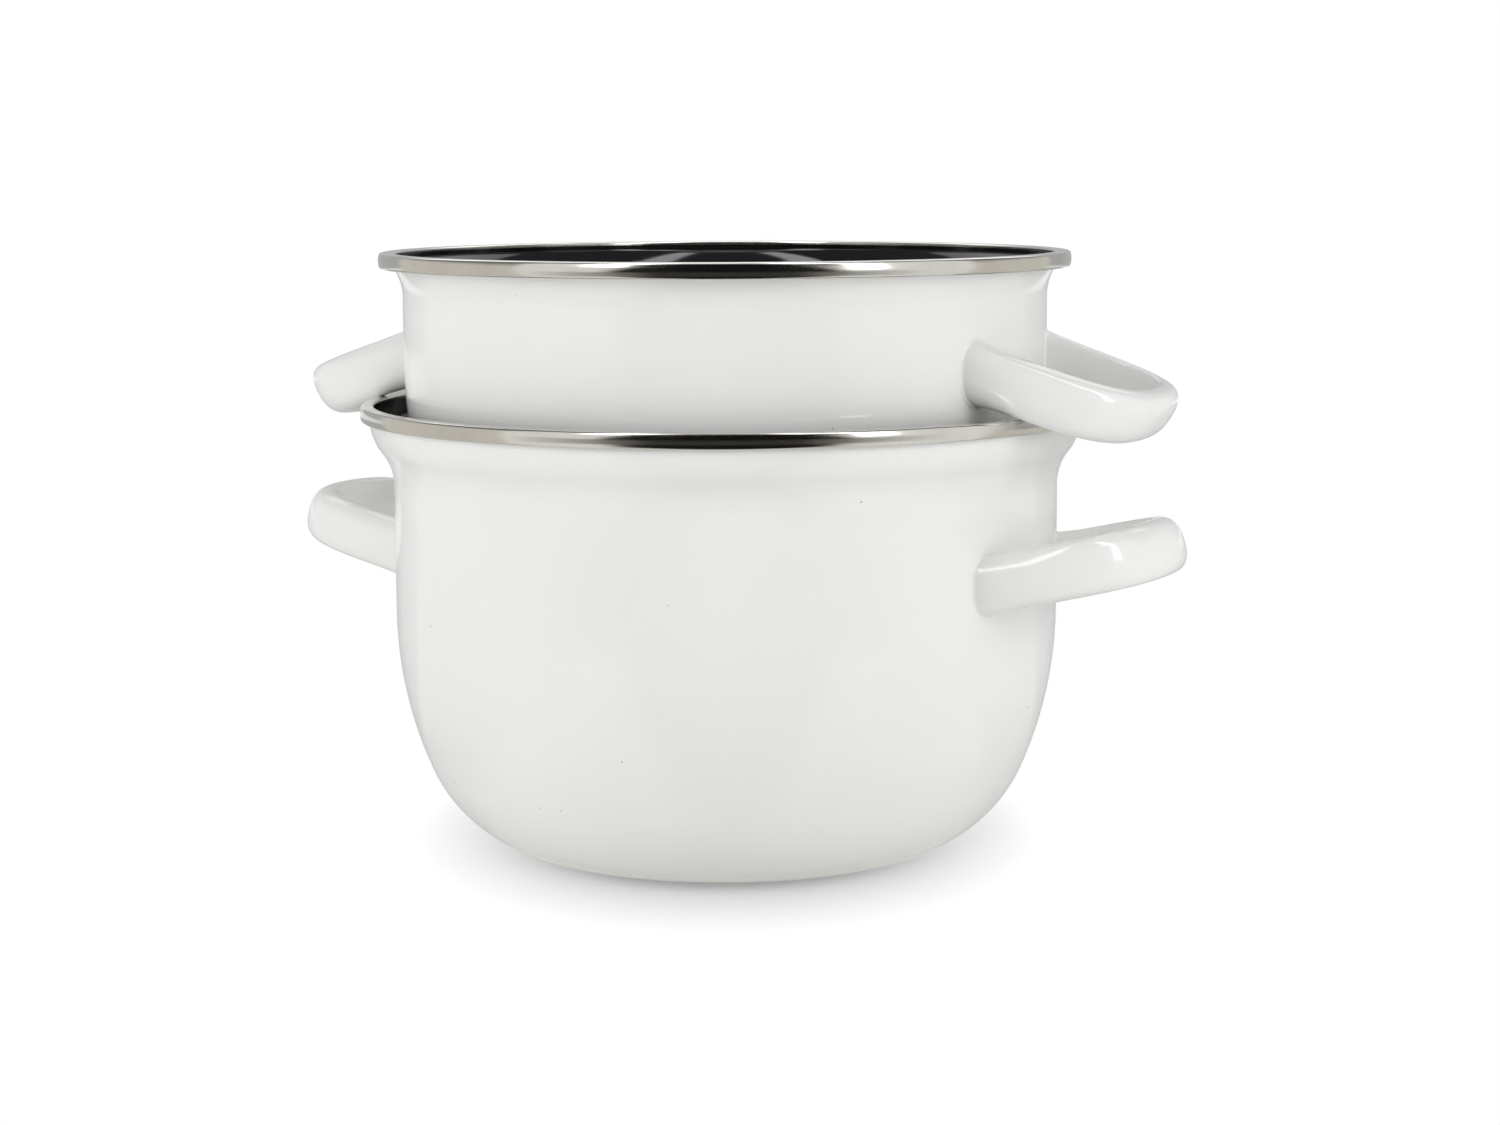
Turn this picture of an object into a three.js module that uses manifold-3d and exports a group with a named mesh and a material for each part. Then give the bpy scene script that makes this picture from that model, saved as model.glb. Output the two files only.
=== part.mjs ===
// Mussel pot of enamelled sheet steel. Its deep lid is turned over and hangs in the mouth
// by its own handles, where it serves as the bowl for empty shells.
// Millimetres, +Z up. The origin is the middle of the flat base, and the handles lie along X.
import * as THREE from 'three';
import { mergeVertices } from 'three/addons/utils/BufferGeometryUtils.js';
import Module from 'manifold-3d';

// Sheet, fits and facets
const SHEET = 1.1;
const GAP = 0.3;
const FACETS = 52;
const ARC_SAG = 0.25;

// Pot shell, measured outside
const POT_HEIGHT = 155;
const POT_RADIUS = 113.8;
const POT_RIM_RADIUS = 125;
const POT_BELLY = { lower: 50, upper: 136, turn: 66.5 };
const MOUTH_FLARE = { radius: 19, turn: 38 };

// Lid shell, measured outside, as the bowl that it is when turned over
const LID_DEPTH = 76;
const LID_RADIUS = 109.8;
const LID_RIM_RADIUS = 117.9;
const LID_BELLY = { lower: 24, upper: 136, turn: 83 };
const LID_FLARE = { radius: 10, turn: 22, slant: 7.6 };
const LID_REST_Z = 130.4;

// Stainless bands, rolled from thin strip over the turned-out lips
const BAND = 0.7;
const BEAD_ROUND = 2.6;
const INNER_LEG = 2.6;
const INNER_ROUND = 1.4;
const LIP_CORNER = 0.5;

// Strap handles, bent to a bow and welded on in pairs
const STRAP_WIDTH = 18.8;
const STRAP_CROWN = 7.3;
const STRAP_BACK = 2.3;
const CROWN_FULLNESS = 0.55;
const BACK_FULLNESS = 0.69;
const BOW_HALF_WIDTH = 30.4;
const BOW_REACH = 42;
const BOW_SHOULDER = -4;
const BOW_ROOT = -16;
const BOW_FULLNESS = 0.82;
const BOW_STEPS = 24;
const STRAP_SEGMENTS = 4;
const POT_HANDLE = { height: 102.2, tilt: 12.9, lean: 4 };
const LID_HANDLE = { height: 37.6, tilt: -17.6, lean: -13 };

// Finishes
const WHITE_ENAMEL = { color: 0xe9eaea, roughness: 0.12, metalness: 0 };
const STAINLESS = { color: 0xb9b5ac, roughness: 0.16, metalness: 1 };

const rad = THREE.MathUtils.degToRad;

// Chords enough that none strays further than ARC_SAG from its arc
function arcSteps(radius, turn) {
  const widest = 2 * Math.acos(1 - Math.min(ARC_SAG / radius, 1));
  return Math.ceil(rad(Math.abs(turn)) / widest);
}

// An outline walked in the (r, z) plane. A move is a straight run or an arc, with turns to
// the left positive, and every point keeps the heading that its offset needs.
function walk(start, moves) {
  const pen = { ...start };
  const points = [{ ...pen }];
  for (const { run = 0, radius = 0, turn = 0 } of moves) {
    const steps = turn ? arcSteps(radius, turn) : 1;
    const bend = turn / steps;
    const stride = turn ? 2 * radius * Math.sin(rad(Math.abs(bend) / 2)) : run;
    for (let i = 0; i < steps; i += 1) {
      const course = rad(pen.heading + bend / 2);
      pen.r += stride * Math.cos(course);
      pen.z += stride * Math.sin(course);
      pen.heading += bend;
      points.push({ ...pen });
    }
  }
  return points;
}

// The same outline moved to the right of its heading
function offset(points, distance) {
  return points.map(({ r, z, heading }) => ({
    r: r + distance * Math.sin(rad(heading)),
    z: z - distance * Math.cos(rad(heading)),
  }));
}

function turned(points) {
  const profile = points.map(({ r, z }) => new THREE.Vector2(Math.max(r, 0), z));
  return new THREE.LatheGeometry(profile, FACETS).rotateX(Math.PI / 2);
}

// Width and height of a belly: a flat base, a tight arc and an easy arc up to the straight wall
function bellySpan({ lower, upper, turn }) {
  return {
    r: lower * Math.sin(rad(turn)) + upper * (1 - Math.sin(rad(turn))),
    z: lower * (1 - Math.cos(rad(turn))) + upper * Math.cos(rad(turn)),
  };
}

function bellyMoves(wallRadius, belly) {
  return [
    { run: wallRadius - bellySpan(belly).r },
    { radius: belly.lower, turn: belly.turn },
    { radius: belly.upper, turn: 90 - belly.turn },
  ];
}

function lipFloor(rimTop) {
  return rimTop - 2 * BEAD_ROUND + BAND + GAP;
}

function potWall() {
  const { radius, turn } = MOUTH_FLARE;
  const flareHeight = 2 * radius * Math.sin(rad(turn));
  const straight = lipFloor(POT_HEIGHT) - flareHeight - bellySpan(POT_BELLY).z;
  return walk({ r: 0, z: 0, heading: 0 }, [
    ...bellyMoves(POT_RADIUS, POT_BELLY),
    { run: straight },
    { radius, turn: -turn },
    { radius, turn },
  ]);
}

function lidWall() {
  const { radius, turn, slant } = LID_FLARE;
  const flareHeight = radius * Math.sin(rad(turn)) + slant * Math.cos(rad(turn));
  const straight = lipFloor(LID_DEPTH) - flareHeight - bellySpan(LID_BELLY).z;
  return walk({ r: 0, z: 0, heading: 0 }, [
    ...bellyMoves(LID_RADIUS, LID_BELLY),
    { run: straight },
    { radius, turn: -turn },
    { run: slant },
  ]);
}

// The lip is turned out under the band and rounded to sit in its channel
function lipOutline(wallEnd, innerRadius, rimRadius) {
  const round = BEAD_ROUND - BAND - GAP;
  const middle = rimRadius - BEAD_ROUND;
  return walk({ r: wallEnd.r, z: wallEnd.z, heading: 0 }, [
    { run: middle - wallEnd.r },
    { radius: round, turn: 180 },
    { run: middle - innerRadius - LIP_CORNER },
    { radius: LIP_CORNER, turn: 90 },
  ]);
}

function shellGeometry(wall, rimRadius) {
  const inside = offset(wall, -SHEET);
  const lip = lipOutline(wall.at(-1), inside.at(-1).r, rimRadius);
  return turned([...wall, ...lip.slice(1), ...inside.reverse()]);
}

// A channel of thin strip: a short inner leg, over the top, round the outside and under the lip
function bandGeometry(wall, rimRadius, rimTop) {
  const innerFace = offset(wall, -SHEET).at(-1).r - GAP - BAND;
  const middle = rimRadius - BEAD_ROUND;
  const start = { r: innerFace, z: rimTop - INNER_LEG, heading: 90 };
  const skin = walk(start, [
    { run: INNER_LEG - INNER_ROUND },
    { radius: INNER_ROUND, turn: -90 },
    { run: middle - innerFace - INNER_ROUND },
    { radius: BEAD_ROUND, turn: -180 },
    { run: middle - wall.at(-1).r - GAP },
  ]);
  const channel = offset(skin, BAND).reverse();
  return turned([...skin, ...channel, skin[0]].reverse());
}

// Middle line of a bow, lying flat, with the wall's surface at x = 0
function bowPath() {
  const at = (x, y) => new THREE.Vector3(x, y, 0);
  const straight = (from, to) => new THREE.LineCurve3(from, to);
  const bend = (from, leave, arrive, to) => new THREE.CubicBezierCurve3(from, leave, arrive, to);
  const pull = BOW_SHOULDER + BOW_FULLNESS * (BOW_REACH - BOW_SHOULDER);
  const side = BOW_HALF_WIDTH;
  const spread = BOW_FULLNESS * side;
  const tip = at(BOW_REACH, 0);
  const path = new THREE.CurvePath();
  path.add(straight(at(BOW_ROOT, -side), at(BOW_SHOULDER, -side)));
  path.add(bend(at(BOW_SHOULDER, -side), at(pull, -side), at(BOW_REACH, -spread), tip));
  path.add(bend(tip, at(BOW_REACH, spread), at(pull, side), at(BOW_SHOULDER, side)));
  path.add(straight(at(BOW_SHOULDER, side), at(BOW_ROOT, side)));
  return path;
}

// Strap section: x across the strap, y towards the inside of the bow, crowned outwards
function strapSection() {
  const half = STRAP_WIDTH / 2;
  const section = new THREE.Shape();
  const bulge = (edge, depth, fullness) => {
    const lift = fullness * depth;
    const reach = fullness * edge;
    section.bezierCurveTo(-edge, lift, -reach, depth, 0, depth);
    section.bezierCurveTo(reach, depth, edge, lift, edge, 0);
  };
  section.moveTo(-half, 0);
  bulge(half, -STRAP_CROWN, CROWN_FULLNESS);
  bulge(-half, STRAP_BACK, BACK_FULLNESS);
  return section;
}

const wasm = await Module();
wasm.setup();

function toSolid(geometry) {
  geometry.deleteAttribute('normal');
  geometry.deleteAttribute('uv');
  const merged = mergeVertices(geometry);
  return new wasm.Manifold(new wasm.Mesh({
    numProp: 3,
    vertProperties: new Float32Array(merged.attributes.position.array),
    triVerts: new Uint32Array(merged.index.array),
  }));
}

function toGeometry(solid) {
  const { numProp, vertProperties, triVerts } = solid.getMesh();
  const geometry = new THREE.BufferGeometry();
  geometry.setAttribute('position', new THREE.BufferAttribute(vertProperties, numProp));
  geometry.setIndex(new THREE.BufferAttribute(triVerts, 1));
  geometry.computeVertexNormals();
  return geometry;
}

// The strap leans: the further out, the more one of its edges is drawn in and the other let out
function leanBow(bow, lean) {
  const spots = bow.attributes.position;
  const slope = Math.tan(rad(lean)) / BOW_REACH;
  for (let i = 0; i < spots.count; i += 1) {
    spots.setX(i, spots.getX(i) * (1 - slope * spots.getZ(i)));
  }
}

// A tilted bow whose feet are trimmed to the round wall that they are welded to
function handleGeometry(wallRadius, { tilt, lean }) {
  const bow = new THREE.ExtrudeGeometry(strapSection(), {
    steps: BOW_STEPS,
    curveSegments: STRAP_SEGMENTS,
    extrudePath: bowPath(),
  });
  leanBow(bow, lean);
  bow.rotateY(-rad(tilt));
  const trim = new THREE.CylinderGeometry(wallRadius + GAP, wallRadius + GAP, wallRadius, FACETS);
  trim.rotateX(Math.PI / 2).translate(-wallRadius, 0, 0);
  return toGeometry(toSolid(bow).subtract(toSolid(trim)));
}

function piece(name, geometry, finish) {
  const mesh = new THREE.Mesh(geometry, new THREE.MeshStandardMaterial(finish));
  mesh.name = name;
  return mesh;
}

// A shell with its band and its two handles, right and left
function vessel(prefix, wall, wallRadius, rimRadius, rimTop, handle) {
  const group = new THREE.Group();
  group.add(piece(`${prefix}_shell`, shellGeometry(wall, rimRadius), WHITE_ENAMEL));
  group.add(piece(`${prefix}_rim_band`, bandGeometry(wall, rimRadius, rimTop), STAINLESS));
  for (const [side, azimuth] of [['right', 0], ['left', Math.PI]]) {
    const geometry = handleGeometry(wallRadius, handle);
    const bow = piece(`${prefix}_handle_${side}`, geometry, WHITE_ENAMEL);
    bow.position.set(wallRadius, 0, handle.height);
    const seat = new THREE.Group();
    seat.rotation.z = azimuth;
    seat.add(bow);
    group.add(seat);
  }
  return group;
}

const musselPot = new THREE.Group();
const pot = vessel('pot', potWall(), POT_RADIUS, POT_RIM_RADIUS, POT_HEIGHT, POT_HANDLE);
const lid = vessel('lid', lidWall(), LID_RADIUS, LID_RIM_RADIUS, LID_DEPTH, LID_HANDLE);
lid.position.z = LID_REST_Z;
musselPot.add(pot, lid);

export default musselPot;
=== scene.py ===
from math import ceil, copysign, cos, pi, radians, sin, sqrt, tan

import bmesh
import bpy
from mathutils import Matrix, Vector
from mathutils.geometry import interpolate_bezier


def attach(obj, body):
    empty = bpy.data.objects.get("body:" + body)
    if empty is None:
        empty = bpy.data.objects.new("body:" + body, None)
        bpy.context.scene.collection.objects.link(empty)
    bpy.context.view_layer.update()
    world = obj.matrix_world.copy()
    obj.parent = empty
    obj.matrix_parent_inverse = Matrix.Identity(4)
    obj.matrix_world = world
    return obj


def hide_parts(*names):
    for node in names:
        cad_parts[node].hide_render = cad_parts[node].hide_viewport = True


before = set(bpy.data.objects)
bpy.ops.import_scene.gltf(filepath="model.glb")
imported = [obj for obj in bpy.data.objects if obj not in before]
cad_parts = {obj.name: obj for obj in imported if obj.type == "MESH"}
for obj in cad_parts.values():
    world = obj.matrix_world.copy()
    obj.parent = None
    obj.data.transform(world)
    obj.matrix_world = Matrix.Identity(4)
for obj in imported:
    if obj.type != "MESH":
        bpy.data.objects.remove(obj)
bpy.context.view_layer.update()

# Pot shell, outside
# One sheet of steel, drawn to a round belly and a flared mouth. This is the white vitreous enamel fired
# on its outside and round the lip under the band. Sizes of pieces are in millimetres, angles in degrees.
MM = 0.001
SHEET = 1.1
COAT = 0.52
POT_HEIGHT = 155
POT_RADIUS = 113.8
POT_RIM_RADIUS = 125
POT_BELLY = [(50, 66.5), (136, 23.5)]
MOUTH_FLARE = [(19, -38), (19, 38)]
LIP_FLOOR = 4.2
LIP_CREASE = 0.3
LIP_ROUND = 1.6
LIP_RETURN = 1.0
BEAD_INSET = 2.6
STEP_TURN = 2.0
ROUND_STEPS = 180
WELD_GAP = 0.002
SHARP_ANGLE = 50
WHITE = (0.806, 0.810, 0.797)
WHITE_DEEP = (0.784, 0.788, 0.774)
WHITE_SPECK = (0.16, 0.15, 0.14)
WHITE_SPECK_SIZE = 0.042
WHITE_GLOSS = (0.025, 0.06)
CLOUD_SCALE = 14
SPECK_SCALE = 117
SPECK_LOTS = (0.35, 1.0)
SPECK_COVER = 0.85
SPECK_EDGE = 0.012
SMEAR_SCALE = 38
PEEL_SCALE = 150
PEEL_DEPTH = 0.01
SAG_SCALE = 22
SAG_DEPTH = 0.06


def straight(length):
    return {"length": length}


def bend(radius, turn):
    return {"radius": radius, "turn": turn}


def run_of(arcs, heading):
    """How far out and up a run of arcs goes, from its first heading."""
    out = up = 0
    for radius, turn in arcs:
        start, end = radians(heading), radians(heading + turn)
        out += copysign(radius, turn) * (sin(end) - sin(start))
        up += copysign(radius, turn) * (cos(start) - cos(end))
        heading += turn
    return out, up


def wall_moves(wall_radius, wall_top, belly, flare, inset=0):
    """From the middle of a base to the end of its flare, outside or on the face that is inset."""
    belly_out, belly_up = run_of(belly, 0)
    flare_up = run_of(flare, 90)[1]
    return [
        straight(wall_radius - belly_out),
        *(bend(radius - copysign(inset, turn), turn) for radius, turn in belly),
        straight(wall_top - belly_up - flare_up),
        *(bend(radius - copysign(inset, turn), turn) for radius, turn in flare),
    ]


def draw_outline(bm, start, heading, moves):
    """Walks an outline in the XZ plane: straights are extruded, bends are spun about their centres."""
    tip = bm.verts.new((start[0] * MM, 0, start[1] * MM))
    for move in moves:
        along = Vector((cos(radians(heading)), 0, sin(radians(heading))))
        if "length" in move:
            drawn = bmesh.ops.extrude_vert_indiv(bm, verts=[tip])
            tip = drawn["verts"][0]
            bmesh.ops.translate(bm, verts=[tip], vec=along * move["length"] * MM)
            continue
        turn = move["turn"]
        aside = Vector((-along.z, 0, along.x)) * copysign(move["radius"], turn) * MM
        steps = ceil(abs(turn) / STEP_TURN)
        drawn = bmesh.ops.spin(bm, geom=[tip], cent=tip.co + aside, axis=(0, -1, 0),
                               angle=radians(turn), steps=steps)
        tip = next(v for v in drawn["geom_last"] if isinstance(v, bmesh.types.BMVert))
        heading += turn


def turn_round(bm):
    """Turns the outline about the pot's axis."""
    bmesh.ops.spin(bm, geom=bm.verts[:] + bm.edges[:], cent=(0, 0, 0), axis=(0, 0, 1),
                   angle=2 * pi, steps=ROUND_STEPS, use_merge=True)


def thicken(bm, thickness):
    """Closes the skin where it meets the axis, and gives it its thickness inwards."""
    bmesh.ops.remove_doubles(bm, verts=bm.verts, dist=WELD_GAP * MM)
    bmesh.ops.recalc_face_normals(bm, faces=bm.faces)
    bmesh.ops.solidify(bm, geom=bm.faces[:], thickness=thickness * MM)
    bmesh.ops.recalc_face_normals(bm, faces=bm.faces)


def new_object(name, bm, material):
    mesh = bpy.data.meshes.new(name)
    bm.to_mesh(mesh)
    bm.free()
    mesh.materials.append(material)
    made = bpy.data.objects.new(name, mesh)
    bpy.context.scene.collection.objects.link(made)
    return made


def make_piece(name, bm, material, body, node):
    piece = new_object(name, bm, material)
    piece.data.shade_smooth()
    piece.data.set_sharp_from_angle(angle=radians(SHARP_ANGLE))
    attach(piece, body)
    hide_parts(node)


def add_node(tree, kind, settings=(), **inputs):
    """A shader node with its settings, and its inputs, by name or as i and a number, set or linked."""
    node = tree.nodes.new(kind)
    for name, value in dict(settings).items():
        setattr(node, name, value)
    for name, value in inputs.items():
        number = name[1:]
        socket = node.inputs[int(number) if number.isdigit() else name]
        if isinstance(value, bpy.types.NodeSocket):
            tree.links.new(value, socket)
        else:
            socket.default_value = value
    return node


def calculate(tree, operation, first, *second):
    inputs = {f"i{i}": value for i, value in enumerate((first, *second))}
    return add_node(tree, "ShaderNodeMath", {"operation": operation}, **inputs).outputs[0]


def spread(tree, value, low, high, start=0.3, end=0.7):
    """Maps a value onto a range, as it goes from start to end."""
    mapped = add_node(tree, "ShaderNodeMapRange", i0=value, i1=start, i2=end, i3=low, i4=high)
    return mapped.outputs["Result"]


def blend_colours(tree, share, first, second):
    mixed = add_node(tree, "ShaderNodeMix", {"data_type": "RGBA"}, Factor=share)
    for socket, value in ((mixed.inputs[6], first), (mixed.inputs[7], second)):
        if isinstance(value, bpy.types.NodeSocket):
            tree.links.new(value, socket)
        else:
            socket.default_value = (*value, 1)
    return mixed.outputs[2]


def new_material(name):
    material = bpy.data.materials.new(name)
    material.use_nodes = True
    tree = material.node_tree
    place = add_node(tree, "ShaderNodeTexCoord").outputs["Object"]
    return material, tree, place, tree.nodes["Principled BSDF"]


def enamel(name, colour, deep, speck, speck_size, gloss):
    """Fired enamel: glassy, very slightly rippled, with a faint cloudiness and stray specks."""
    material, tree, place, shader = new_material(name)
    cloud = add_node(tree, "ShaderNodeTexNoise", Vector=place, Scale=CLOUD_SCALE, Detail=3)
    ground = blend_colours(tree, spread(tree, cloud.outputs[0], 0, 1), colour, deep)
    cells = add_node(tree, "ShaderNodeTexVoronoi", Vector=place, Scale=SPECK_SCALE)
    lot = add_node(tree, "ShaderNodeSeparateColor", Color=cells.outputs["Color"])
    reach = spread(tree, lot.outputs[0], 0, speck_size, *SPECK_LOTS)
    edge = calculate(tree, "SUBTRACT", reach, cells.outputs["Distance"])
    dotted = spread(tree, edge, 0, SPECK_COVER, 0, SPECK_EDGE)
    tree.links.new(blend_colours(tree, dotted, ground, speck), shader.inputs["Base Color"])
    smear = add_node(tree, "ShaderNodeTexNoise", Vector=place, Scale=SMEAR_SCALE, Detail=4)
    tree.links.new(spread(tree, smear.outputs[0], *gloss), shader.inputs["Roughness"])
    peel = add_node(tree, "ShaderNodeTexNoise", Vector=place, Scale=PEEL_SCALE, Detail=1)
    sag = add_node(tree, "ShaderNodeTexNoise", Vector=place, Scale=SAG_SCALE, Detail=1)
    fine = add_node(tree, "ShaderNodeBump", Strength=1, Distance=PEEL_DEPTH * MM, Height=peel.outputs[0])
    broad = add_node(tree, "ShaderNodeBump", Strength=1, Distance=SAG_DEPTH * MM, Height=sag.outputs[0],
                     Normal=fine.outputs[0])
    tree.links.new(broad.outputs[0], shader.inputs["Normal"])
    return material


white_enamel = enamel("white_enamel", WHITE, WHITE_DEEP, WHITE_SPECK, WHITE_SPECK_SIZE, WHITE_GLOSS)
pot_neck = POT_RADIUS + run_of(MOUTH_FLARE, 90)[0]

shape = bmesh.new()
draw_outline(shape, (0, 0), 0, [
    *wall_moves(POT_RADIUS, POT_HEIGHT - LIP_FLOOR, POT_BELLY, MOUTH_FLARE),
    bend(LIP_CREASE, -90),
    straight(POT_RIM_RADIUS - BEAD_INSET - LIP_CREASE - pot_neck),
    bend(LIP_ROUND, 180),
    straight(LIP_RETURN),
])
turn_round(shape)
thicken(shape, COAT)
make_piece("pot_outside_enamel", shape, white_enamel, "pot", "pot_shell")

# Pot shell, inside
# The same sheet seen from within. It is fired with black enamel, which doesn't stain, and which
# ends under the inner leg of the rim band.
BLACK = (0.0075, 0.0075, 0.0080)
BLACK_DEEP = (0.0050, 0.0050, 0.0055)
BLACK_SPECK = (0.05, 0.05, 0.052)
BLACK_SPECK_SIZE = 0.03
BLACK_GLOSS = (0.06, 0.10)
LIP_TOP = 1.0

black_enamel = enamel("black_enamel", BLACK, BLACK_DEEP, BLACK_SPECK, BLACK_SPECK_SIZE, BLACK_GLOSS)

shape = bmesh.new()
draw_outline(shape, (0, SHEET), 0, [
    *wall_moves(POT_RADIUS, POT_HEIGHT - LIP_FLOOR, POT_BELLY, MOUTH_FLARE, SHEET),
    straight(LIP_FLOOR - LIP_TOP),
])
turn_round(shape)
thicken(shape, -COAT)
make_piece("pot_inside_enamel", shape, black_enamel, "pot", "pot_shell")

# Pot rim band
# A thin strip of polished stainless steel, rolled over the lip: a short leg inside, across the top,
# down an almost flat face with rounded edges, and in under the lip to the wall.
BAND = 0.5
BAND_DEPTH = 5.2
INNER_LEG = 1.3
INNER_ROUND = 0.7
FACE_CORNER = 1.0
FACE_CORNER_TURN = 76
POT_BAND_INSIDE = 120.2
POT_BAND_FOOT = 122.0
STEEL = (0.66, 0.645, 0.61)
STEEL_DULL = (0.59, 0.575, 0.54)
STEEL_GLOSS = (0.09, 0.2)
MARK_SCALE = 5200
MARK_DEPTH = 0.004
MARK_STRENGTH = 0.35
DULL_SCALE = 60
RUBBED = (0.1, 0.45)


def out_and_up(tree, place):
    """How far a place lies from the pot's axis, and how high."""
    axes = add_node(tree, "ShaderNodeSeparateXYZ", Vector=place)
    flat = add_node(tree, "ShaderNodeCombineXYZ", X=axes.outputs[0], Y=axes.outputs[1])
    out = add_node(tree, "ShaderNodeVectorMath", {"operation": "LENGTH"}, i0=flat.outputs[0])
    return out.outputs["Value"], axes.outputs[2]


def stainless(name):
    """Polished strip with fine drawing marks that run round the rim."""
    material, tree, place, shader = new_material(name)
    shader.inputs["Metallic"].default_value = 1
    out, up = out_and_up(tree, place)
    across = add_node(tree, "ShaderNodeCombineXYZ", X=out, Y=up)
    marks = add_node(tree, "ShaderNodeTexNoise", Vector=across.outputs[0], Scale=MARK_SCALE, Detail=3)
    patches = add_node(tree, "ShaderNodeTexNoise", Vector=place, Scale=DULL_SCALE, Detail=4)
    tone = blend_colours(tree, spread(tree, patches.outputs[0], 0, 1), STEEL, STEEL_DULL)
    tree.links.new(tone, shader.inputs["Base Color"])
    rubbed = calculate(tree, "MULTIPLY", marks.outputs[0], patches.outputs[0])
    tree.links.new(spread(tree, rubbed, *STEEL_GLOSS, *RUBBED), shader.inputs["Roughness"])
    relief = add_node(tree, "ShaderNodeBump", Strength=MARK_STRENGTH, Distance=MARK_DEPTH * MM,
                      Height=marks.outputs[0])
    tree.links.new(relief.outputs[0], shader.inputs["Normal"])
    return material


def roll_band(rim_radius, rim_top, inner_face, foot_radius):
    """The strip, from the foot of its inner leg round to where it meets the wall."""
    turn = radians(FACE_CORNER_TURN)
    face = (BAND_DEPTH - 2 * FACE_CORNER * (1 - cos(turn))) / (2 * cos(turn))
    corner = rim_radius - FACE_CORNER * sin(turn) - face * (1 - sin(turn))
    bm = bmesh.new()
    draw_outline(bm, (inner_face, rim_top - INNER_LEG), 90, [
        straight(INNER_LEG - INNER_ROUND),
        bend(INNER_ROUND, -90),
        straight(corner - inner_face - INNER_ROUND),
        bend(FACE_CORNER, -FACE_CORNER_TURN),
        bend(face, 2 * FACE_CORNER_TURN - 180),
        bend(FACE_CORNER, -FACE_CORNER_TURN),
        straight(corner - foot_radius),
    ])
    turn_round(bm)
    thicken(bm, BAND)
    return bm


stainless_steel = stainless("stainless_band")
shape = roll_band(POT_RIM_RADIUS, POT_HEIGHT, POT_BAND_INSIDE, POT_BAND_FOOT)
make_piece("pot_rim_band_steel", shape, stainless_steel, "pot", "pot_rim_band")

# Pot handles
# Two bows of steel strap, crowned outside and almost flat within, welded on by their ends and
# tilted up. The white enamel runs over weld and wall in one soft hollow round each foot.
STRAP_WIDTH = 18.7
STRAP_CROWN = 7.15
STRAP_BACK = 2.3
CROWN_POWER = 0.80
BACK_POWER = 0.64
STRAP_SIDES = 64
BOW_HALF_WIDTH = 30.4
BOW_REACH = 42
BOW_SHOULDER = -4
BOW_FULLNESS = 0.82
BOW_STEPS = 40
BOW_START = 9
FOOT_SPLAY = 0.7
FOOT_LENGTH = 14
FOOT_HOLLOW = 1.0
FOOT_STEPS = 8
FOOT_SINK = 0.12
FOOT_LIFTS = (2.5, 3.5, 5.0)
POT_HANDLE = {"height": 102.2, "tilt": 12.9, "lean": 4}


def bow_stations():
    """Points along the middle of the bow from foot to foot, with the wall's face at x = 0."""
    pull = BOW_SHOULDER + BOW_FULLNESS * (BOW_REACH - BOW_SHOULDER)
    sway = BOW_FULLNESS * BOW_HALF_WIDTH
    half = interpolate_bezier((BOW_SHOULDER, -BOW_HALF_WIDTH, 0), (pull, -BOW_HALF_WIDTH, 0),
                              (BOW_REACH, -sway, 0), (BOW_REACH, 0, 0), BOW_STEPS)
    back = [Vector((p.x, -p.y, 0)) for p in reversed(half[:-1])]
    return [p.copy() for p in half] + back


def strap_section(ring):
    """Presses a round ring into the strap's section: how far each point lies out and up."""
    section = []
    for vert in ring:
        inside = vert.co.y < 0
        power = BACK_POWER if inside else CROWN_POWER
        depth = STRAP_BACK if inside else STRAP_CROWN
        section.append(Vector((copysign(abs(vert.co.y) ** power, vert.co.y) * depth,
                               copysign(abs(vert.co.x) ** power, vert.co.x) * STRAP_WIDTH / 2)))
    return section


def section_normals(section):
    count = len(section)
    edges = [section[(i + 1) % count] - section[i - 1] for i in range(count)]
    normals = [Vector((edge.y, -edge.x)).normalized() for edge in edges]
    return [n if n.dot(p) > 0 else -n for n, p in zip(normals, section)]


def onto_wall(point, away, wall_radius):
    """Slides a point along the strap until it meets the wall's cylinder."""
    a = away.x ** 2 + away.y ** 2
    b = point.x * away.x + point.y * away.y
    c = point.x ** 2 + point.y ** 2 - wall_radius ** 2
    return point + away * ((sqrt(b * b - a * c) - b) / a)


def splay(distance):
    """How much wider the strap is, at a distance from the wall, where it was splayed for welding."""
    return FOOT_SPLAY * max(0, 1 - distance / FOOT_LENGTH) ** 2


def foot_rings(i):
    """A foot from just under the wall's face: the hollow of the enamel, then the splayed strap."""
    rings = [(i, FOOT_HOLLOW + splay(0), -FOOT_SINK)]
    for step in range(FOOT_STEPS + 1):
        angle = pi / 2 * step / FOOT_STEPS
        lift = FOOT_HOLLOW * (1 - cos(angle))
        rings.append((i, FOOT_HOLLOW * (1 - sin(angle)) + splay(lift), lift))
    for lift in FOOT_LIFTS:
        rings.append((i, splay(lift), lift))
    return rings


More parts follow.
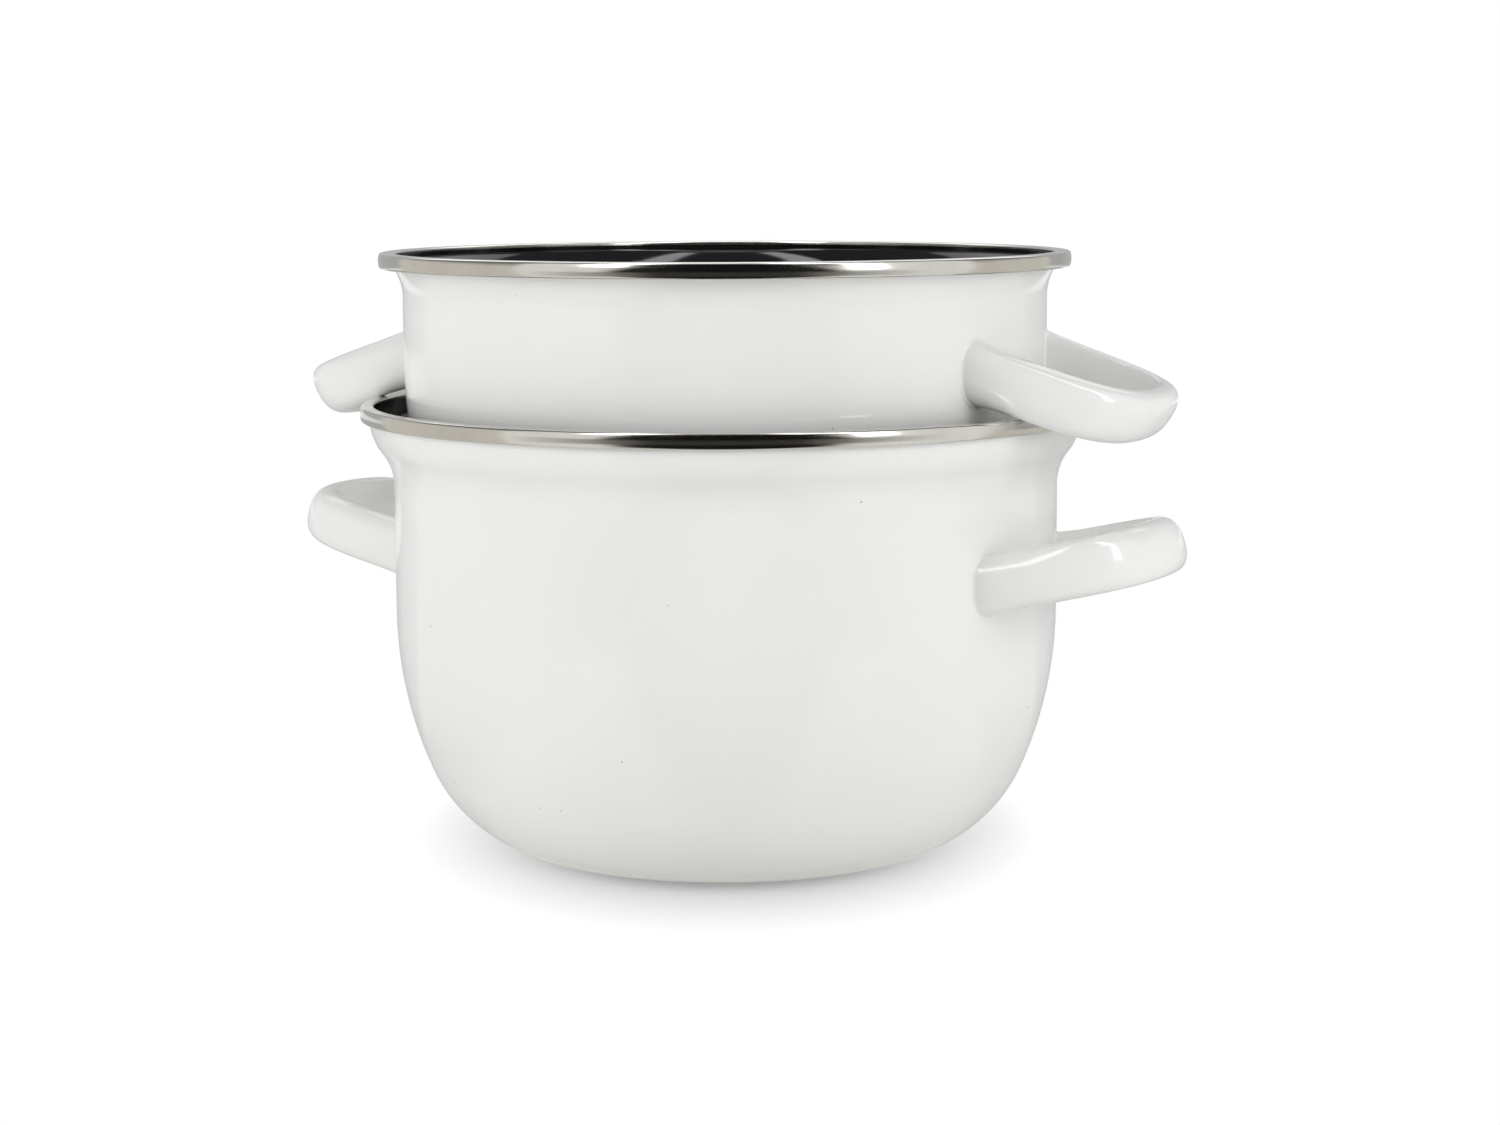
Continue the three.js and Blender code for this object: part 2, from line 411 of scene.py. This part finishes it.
def bend_strap(wall_radius, handle, side):
    """Extrudes the strap's section along the bow, and splays both feet onto the round wall."""
    points = bow_stations()
    bm = bmesh.new()
    ring = bmesh.ops.create_circle(bm, segments=STRAP_SIDES, radius=1)["verts"]
    section = strap_section(ring)
    normals = section_normals(section)
    slope = tan(radians(handle["lean"])) / BOW_REACH
    tilt = Matrix.Rotation(-radians(handle["tilt"]), 3, "Y")
    away = tilt @ Vector((1, 0, 0))
    seat = Vector((wall_radius, 0, handle["height"]))
    turn = Matrix.Rotation(0 if side == "right" else pi, 3, "Z")

    def place_ring(verts, i, grow=0.0, lift=None):
        """Sets a ring at a point of the bow, or for a foot at its lift from the wall."""
        ahead = points[min(i + 1, len(points) - 1)] - points[max(i - 1, 0)]
        outwards = ahead.cross((0, 0, 1)).normalized()
        if lift is not None:
            outwards = Vector((0, copysign(1, points[i].y), 0))
        for vert, flat, normal in zip(verts, section, normals):
            wide = flat + normal * grow
            spot = points[i] + outwards * wide.x + Vector((0, 0, wide.y))
            spot.x *= 1 - slope * spot.z
            spot = seat + tilt @ spot
            if lift is not None:
                spot = onto_wall(spot, away, wall_radius) + away * lift
            vert.co = turn @ spot * MM

    wall_face = sqrt(wall_radius ** 2 - BOW_HALF_WIDTH ** 2) - wall_radius
    plain = [(i, splay(p.x - wall_face)) for i, p in enumerate(points) if p.x > wall_face + BOW_START]
    stations = foot_rings(0) + plain + foot_rings(len(points) - 1)[::-1]
    place_ring(ring, *stations[0])
    rim = bm.edges[:]
    for station in stations[1:]:
        grown = bmesh.ops.extrude_edge_only(bm, edges=rim)["geom"]
        rim = [part for part in grown if isinstance(part, bmesh.types.BMEdge)]
        fresh = {part for part in grown if isinstance(part, bmesh.types.BMVert)}
        ring = [next(e.other_vert(v) for e in v.link_edges if e.other_vert(v) in fresh) for v in ring]
        place_ring(ring, *station)
    bmesh.ops.holes_fill(bm, edges=[e for e in bm.edges if e.is_boundary], sides=0)
    bmesh.ops.recalc_face_normals(bm, faces=bm.faces)
    return bm


for side in ("right", "left"):
    shape = bend_strap(POT_RADIUS, POT_HANDLE, side)
    node = f"pot_handle_{side}"
    make_piece(f"{node}_enamel", shape, white_enamel, "pot", node)

# Lid shell, outside
# The pot's deep lid, turned over to be the bowl for empty shells. It hangs in the mouth by its
# handles. Outside it is white enamel on drawn sheet steel, like the pot.
LID_REST = 130.4
LID_DEPTH = 76
LID_RADIUS = 109.8
LID_RIM_RADIUS = 117.9
LID_BELLY = [(24, 83), (136, 7)]
LID_FLARE_TURN = 36.66
LID_FLARE = [(18.07, -LID_FLARE_TURN)]
LID_LIP = 1.6

shape = bmesh.new()
draw_outline(shape, (0, LID_REST), 0, [
    *wall_moves(LID_RADIUS, LID_DEPTH - LIP_FLOOR, LID_BELLY, LID_FLARE),
    bend(LIP_CREASE, LID_FLARE_TURN - 90),
    straight(LID_LIP),
    bend(LIP_ROUND, 180),
    straight(LIP_RETURN),
])
turn_round(shape)
thicken(shape, COAT)
make_piece("lid_outside_enamel", shape, white_enamel, "lid", "lid_shell")

# Lid shell, inside
# The hollow that takes the shells, fired with black enamel like the inside of the pot. Above the
# flare it turns straight up again and ends under the band's inner leg.
COLLAR_BEND = 1.2
COLLAR_HEIGHT = 1.9

shape = bmesh.new()
draw_outline(shape, (0, LID_REST + SHEET), 0, [
    *wall_moves(LID_RADIUS, LID_DEPTH - LIP_FLOOR, LID_BELLY, LID_FLARE, SHEET),
    bend(COLLAR_BEND, LID_FLARE_TURN),
    straight(COLLAR_HEIGHT),
])
turn_round(shape)
thicken(shape, -COAT)
make_piece("lid_inside_enamel", shape, black_enamel, "lid", "lid_shell")

# Lid rim band
# The same polished stainless strip as on the pot, rolled over the lid's turned-out lip.
LID_BAND_INSIDE = 112.2
LID_BAND_FOOT = 113.5

shape = roll_band(LID_RIM_RADIUS, LID_REST + LID_DEPTH, LID_BAND_INSIDE, LID_BAND_FOOT)
make_piece("lid_rim_band_steel", shape, stainless_steel, "lid", "lid_rim_band")

# Lid handles
# Bows of the same strap, welded on and enamelled white. They tilt the other way, so that they
# stand up when the lid is a lid. Turned over, they rest on the pot's rim band.
LID_HANDLE = {"height": LID_REST + 37.6, "tilt": -17.6, "lean": -13}

for side in ("right", "left"):
    shape = bend_strap(LID_RADIUS, LID_HANDLE, side)
    node = f"lid_handle_{side}"
    make_piece(f"{node}_enamel", shape, white_enamel, "lid", node)

# Camera
# A long lens a little above the rim, turned so that one handle of each pair points to the right
# and towards the viewer. Places of the camera, floor and lamps are in metres.
VIEW_TURN = 26.5
VIEW_DISTANCE = 1.050
VIEW_HEIGHT = 0.23927
VIEW_PITCH = 7.625
VIEW_YAW = 0.447
VIEW_ROLL = -0.21
LENS_PIXELS = 3056
IMAGE_WIDTH = 1500
SENSOR = 36


def around(angle, distance, height):
    """A place round the pot, by its angle to the right of the camera."""
    turn = radians(VIEW_TURN + angle)
    return Vector((distance * sin(turn), -distance * cos(turn), height))


camera = bpy.data.objects.new("camera", bpy.data.cameras.new("camera"))
camera.data.sensor_width = SENSOR
camera.data.lens = LENS_PIXELS / IMAGE_WIDTH * SENSOR
camera.matrix_world = (Matrix.Translation(around(0, VIEW_DISTANCE, VIEW_HEIGHT))
                       @ Matrix.Rotation(radians(VIEW_TURN - VIEW_YAW), 4, "Z")
                       @ Matrix.Rotation(radians(90 - VIEW_PITCH), 4, "X")
                       @ Matrix.Rotation(radians(VIEW_ROLL), 4, "Z"))
bpy.context.scene.collection.objects.link(camera)
bpy.context.scene.camera = camera
bpy.context.scene.view_settings.view_transform = "Standard"

# Floor
# A white table top without an end. Near the pot it shows the pot's real shadow, deepened by
# painted shade, and passes into the white background further out.
FLOOR_RADIUS = 8
FLOOR_SIDES = 96
FLOOR_TONE = (0.90, 0.90, 0.89)
GRAIN_TONE = (0.882, 0.882, 0.8722)
GRAIN_SCALE = 30
# Painted shade: camera and mirror rays see a darker tone and a faint glow near the pot, over its real
# shadow.
SHADE_TONE = (0.40, 0.40, 0.40)
SHADE_GLOW = 0.30
SHADE_MIDDLE = -0.030
SHADE_NARROWING = 1.43
SHADE_FADE = (0.092, 0.157)


def seen_directly(tree):
    """One for rays from the camera and for mirror and glass rays, else nought."""
    path = add_node(tree, "ShaderNodeLightPath")
    seen = path.outputs["Is Camera Ray"]
    for other in ("Is Glossy Ray", "Is Transmission Ray"):
        seen = calculate(tree, "MAXIMUM", seen, path.outputs[other])
    return seen


def lies_towards(tree, place, direction):
    """How far a place lies in a direction."""
    product = add_node(tree, "ShaderNodeVectorMath", {"operation": "DOT_PRODUCT"}, i0=place, i1=direction)
    return product.outputs["Value"]


def floor_cloth():
    """Pale and matt, with painted shade over the real shadow near the pot, in an oval that fades to plain
    white.
    """
    material, tree, place, shader = new_material("floor_white")
    tree.nodes.remove(shader)
    seen = seen_directly(tree)
    aside = lies_towards(tree, place, around(90, SHADE_NARROWING, 0))
    nearer = lies_towards(tree, place, around(0, 1, 0))
    spot = add_node(tree, "ShaderNodeCombineXYZ", X=aside, Y=nearer)
    shade = add_node(tree, "ShaderNodeVectorMath", {"operation": "DISTANCE"},
                     i0=spot.outputs[0], i1=(0, SHADE_MIDDLE, 0))
    fade = spread(tree, shade.outputs["Value"], 0, 1, *SHADE_FADE)
    grain = add_node(tree, "ShaderNodeTexNoise", Vector=place, Scale=GRAIN_SCALE)
    tone = blend_colours(tree, grain.outputs[0], FLOOR_TONE, GRAIN_TONE)
    # Painted shade: a darker tone and a faint glow for camera and mirror rays, which still take the real
    # shadow.
    top = add_node(tree, "ShaderNodeBsdfDiffuse", Color=blend_colours(tree, seen, tone, SHADE_TONE))
    glow = add_node(tree, "ShaderNodeEmission", Strength=calculate(tree, "MULTIPLY", seen, SHADE_GLOW))
    lit = add_node(tree, "ShaderNodeAddShader", i0=top.outputs[0], i1=glow.outputs[0])
    plain = add_node(tree, "ShaderNodeEmission")
    whole = add_node(tree, "ShaderNodeMixShader", i0=calculate(tree, "MULTIPLY", seen, fade),
                     i1=lit.outputs[0], i2=plain.outputs[0])
    tree.links.new(whole.outputs[0], tree.nodes["Material Output"].inputs["Surface"])
    return material


def stage_piece(name, bm, material):
    staged = new_object(name, bm, material)
    return staged


shape = bmesh.new()
bmesh.ops.create_circle(shape, cap_ends=True, segments=FLOOR_SIDES, radius=FLOOR_RADIUS)
stage_piece("floor", shape, floor_cloth())

# Light
# Two soft boxes beside the camera, one above it and two behind the pot, in the even light of a
# white tent. The pot mirrors only the tent's cloth, a painted reflection with painted lamp highlights
# and a painted open, dark front.
TENT_LIGHT = 0.50
BOX_DISTANCE = 1.0
BOX_AIM = 0.12
BOX_POWER = 4
SIDE_BOX = {"height": 0.35, "size": (0.4, 0.6)}
FRONT_BOX = {"height": 0.60, "size": (0.5, 0.5)}
SOFT_BOXES = {
    "soft_box_left": {"angle": -58, "brightness": 3.55, **SIDE_BOX},
    "soft_box_right": {"angle": 56, "brightness": 3.50, **SIDE_BOX},
    "soft_box_front": {"angle": 0, "brightness": 1.45, **FRONT_BOX},
    "back_box_left": {"angle": -135, "brightness": 2.2, **SIDE_BOX},
    "back_box_right": {"angle": 135, "brightness": 2.2, **SIDE_BOX},
}


def soft_box(name, angle, height, size, brightness):
    lamp = bpy.data.lights.new(name, "AREA")
    lamp.shape = "RECTANGLE"
    lamp.size, lamp.size_y = size
    lamp.energy = BOX_POWER * size[0] * size[1] * brightness
    box = bpy.data.objects.new(name, lamp)
    box.location = around(angle, BOX_DISTANCE, height)
    aim = Vector((0, 0, BOX_AIM)) - box.location
    box.rotation_euler = aim.to_track_quat("-Z", "Y").to_euler()
    box.visible_camera = False
    box.visible_glossy = False
    bpy.context.scene.collection.objects.link(box)


world = bpy.data.worlds.new("tent")
bpy.context.scene.world = world
world.use_nodes = True
tree = world.node_tree
soft = tree.nodes["Background"]
soft.inputs["Color"].default_value = (1, 1, 1, 1)
soft.inputs["Strength"].default_value = TENT_LIGHT
backdrop = add_node(tree, "ShaderNodeBackground", Color=(1, 1, 1, 1), Strength=1)
shown = add_node(tree, "ShaderNodeMixShader", i0=seen_directly(tree),
                 i1=soft.outputs[0], i2=backdrop.outputs[0])
tree.links.new(shown.outputs[0], tree.nodes["World Output"].inputs["Surface"])
for name, box in SOFT_BOXES.items():
    soft_box(name, **box)

# Mirrored tent
# A painted reflection of the white cloth round the pot: a glowing sheet that only enamel and steel
# mirror. Its colours go by turn, the angle to the right of the camera, and by rise, the angle above
# the pot's middle, both in degrees.
TENT_HEM = (70, 0.6)
TENT_GROUND = 370
TENT_LOW_BEND = 60
TENT_WALL = 600
TENT_HIGH_BEND = 100
TENT_TOP = 400
TENT_MIDDLE = 150
TENT_SIDE = (0.74, 0.72, 0.665)
TENT_BACK = (0.50, 0.51, 0.51)
BACK_TURN = (119, 123)
TENT_STREAK = (0.94, 0.95, 0.95)
STREAK_RISE = -3
STREAK_EDGE = (2.8, 1.2)
TENT_FOOT = (0.56, 0.56, 0.55)
TENT_FOOT_TURN = (60, 85)
TENT_FOOT_RISE = (-30, -44)
TENT_UPPER = (0.22, 0.22, 0.22)
UPPER_RISE = (12, 24)
TENT_ROOF = (1.8, 1.8, 1.8)
ROOF_RISE = (76, 82)
BACK_ROOF_RISE = (25, 40)
# Painted highlights: glowing patches where lamps and the bright cloth beside them are mirrored.
PAINTED_LIGHT_NEAR_LAMPS = (0.95, 0.95, 0.93)
PAINTED_HIGHLIGHT_WHITE = (5.5, 5.5, 5.5)
PAINTED_HIGHLIGHTS = [
    {"turn": -48, "rise": 0, "reach": (15, 45), "colour": PAINTED_LIGHT_NEAR_LAMPS},
    {"turn": 57, "rise": 0, "reach": (22, 45), "colour": PAINTED_LIGHT_NEAR_LAMPS},
    {"turn": -35, "rise": 35, "reach": (6, 17), "colour": PAINTED_HIGHLIGHT_WHITE},
    {"turn": 41, "rise": 29, "reach": (5, 23), "colour": PAINTED_HIGHLIGHT_WHITE},
    {"turn": -40, "rise": 60, "reach": (8, 16), "colour": PAINTED_HIGHLIGHT_WHITE},
    {"turn": 34, "rise": 60, "reach": (8, 16), "colour": PAINTED_HIGHLIGHT_WHITE},
]
PATCH_EDGE = 2
# Painted dark reflection round the camera, in the mirrored tent's front.
DARK_FRONT = (0.01, 0.01, 0.01)
FRONT_TURN = 36
FRONT_RISE = -4
FRONT_HEIGHT = 50
FRONT_EDGE = (0.85, 1.1)
SLIT_DARKNESS = 0.95
SLIT_TURN = (20, 62)
SLIT_RISE = -8
SLIT_EDGE = (10, 6)


def step_up(tree, value, start, end):
    """Nought below the start and one above the end, or the other way round, with soft shoulders."""
    mapped = add_node(tree, "ShaderNodeMapRange", {"interpolation_type": "SMOOTHSTEP"},
                      i0=value, i1=radians(start), i2=radians(end))
    return mapped.outputs["Result"]


def apart(tree, angle, middle):
    """How far an angle is from a middle one."""
    return calculate(tree, "ABSOLUTE", calculate(tree, "SUBTRACT", angle, radians(middle)))


def tent_angles(tree, place):
    parts = [lies_towards(tree, place, around(angle, 1, 0)) for angle in (90, 0)]
    turn = calculate(tree, "ARCTAN2", *parts)
    out, up = out_and_up(tree, place)
    height = calculate(tree, "SUBTRACT", up, TENT_MIDDLE * MM)
    return turn, calculate(tree, "ARCTAN2", height, out)


def tent_walls(tree, aside, rise):
    """Painted reflection: pale sides, a greyer back with a bright streak, a dim foot, a dark upper part,
    a bright roof.
    """
    behind = step_up(tree, aside, *BACK_TURN)
    streak = step_up(tree, apart(tree, rise, STREAK_RISE), *STREAK_EDGE)
    back = blend_colours(tree, streak, TENT_BACK, TENT_STREAK)
    cloth = blend_colours(tree, behind, TENT_SIDE, back)
    low = step_up(tree, rise, *TENT_FOOT_RISE)
    foot = calculate(tree, "MULTIPLY", low, step_up(tree, aside, *TENT_FOOT_TURN))
    cloth = blend_colours(tree, foot, cloth, TENT_FOOT)
    upper = calculate(tree, "SUBTRACT", step_up(tree, rise, *UPPER_RISE), behind)
    cloth = blend_colours(tree, upper, cloth, TENT_UPPER)
    overhead = calculate(tree, "MULTIPLY", behind, step_up(tree, rise, *BACK_ROOF_RISE))
    roof = calculate(tree, "MAXIMUM", overhead, step_up(tree, rise, *ROOF_RISE))
    return blend_colours(tree, roof, cloth, TENT_ROOF)


def painted_highlight_patch(tree, turn, rise, lamp):
    """A soft-edged painted highlight, by the angles of its middle and how far it reaches from there."""
    sides = []
    for angle, middle, half in zip((turn, rise), (lamp["turn"], lamp["rise"]), lamp["reach"]):
        sides.append(step_up(tree, apart(tree, angle, middle), half + PATCH_EDGE, half - PATCH_EDGE))
    return calculate(tree, "MULTIPLY", *sides)


def front_darkness(tree, turn, aside, rise):
    """Painted dark reflection: an upright lens round the camera, and a slit level with the rims that
    fades to the sides.
    """
    wide = calculate(tree, "DIVIDE", turn, radians(FRONT_TURN))
    tall = calculate(tree, "DIVIDE", apart(tree, rise, FRONT_RISE), radians(FRONT_HEIGHT))
    lens = calculate(tree, "ADD", calculate(tree, "MULTIPLY", wide, wide), tall)
    dark = spread(tree, lens, 1, 0, *FRONT_EDGE)
    faint = spread(tree, aside, SLIT_DARKNESS, 0, *(radians(angle) for angle in SLIT_TURN))
    level = step_up(tree, apart(tree, rise, SLIT_RISE), *SLIT_EDGE)
    return add_node(tree, "ShaderNodeMix", Factor=level, i2=dark, i3=faint).outputs[0]


def tent_painted_reflection():
    material, tree, place, shader = new_material("tent_painted_reflection")
    tree.nodes.remove(shader)
    turn, rise = tent_angles(tree, place)
    aside = calculate(tree, "ABSOLUTE", turn)
    cloth = tent_walls(tree, aside, rise)
    # Painted highlights, laid over the mirrored cloth.
    for lamp in PAINTED_HIGHLIGHTS:
        cloth = blend_colours(tree, painted_highlight_patch(tree, turn, rise, lamp), cloth, lamp["colour"])
    # Painted dark reflection of the open front.
    cloth = blend_colours(tree, front_darkness(tree, turn, aside, rise), cloth, DARK_FRONT)
    glow = add_node(tree, "ShaderNodeEmission", Color=cloth)
    tree.links.new(glow.outputs[0], tree.nodes["Material Output"].inputs["Surface"])
    material.cycles.emission_sampling = "NONE"
    return material


shape = bmesh.new()
draw_outline(shape, TENT_HEM, 0, [
    straight(TENT_GROUND),
    bend(TENT_LOW_BEND, 90),
    straight(TENT_WALL),
    bend(TENT_HIGH_BEND, 90),
    straight(TENT_TOP),
])
turn_round(shape)
tent = stage_piece("tent", shape, tent_painted_reflection())
# A painted reflection only: camera rays, diffuse rays and shadows pass through the sheet.
tent.visible_camera = False
tent.visible_diffuse = False
tent.visible_shadow = False
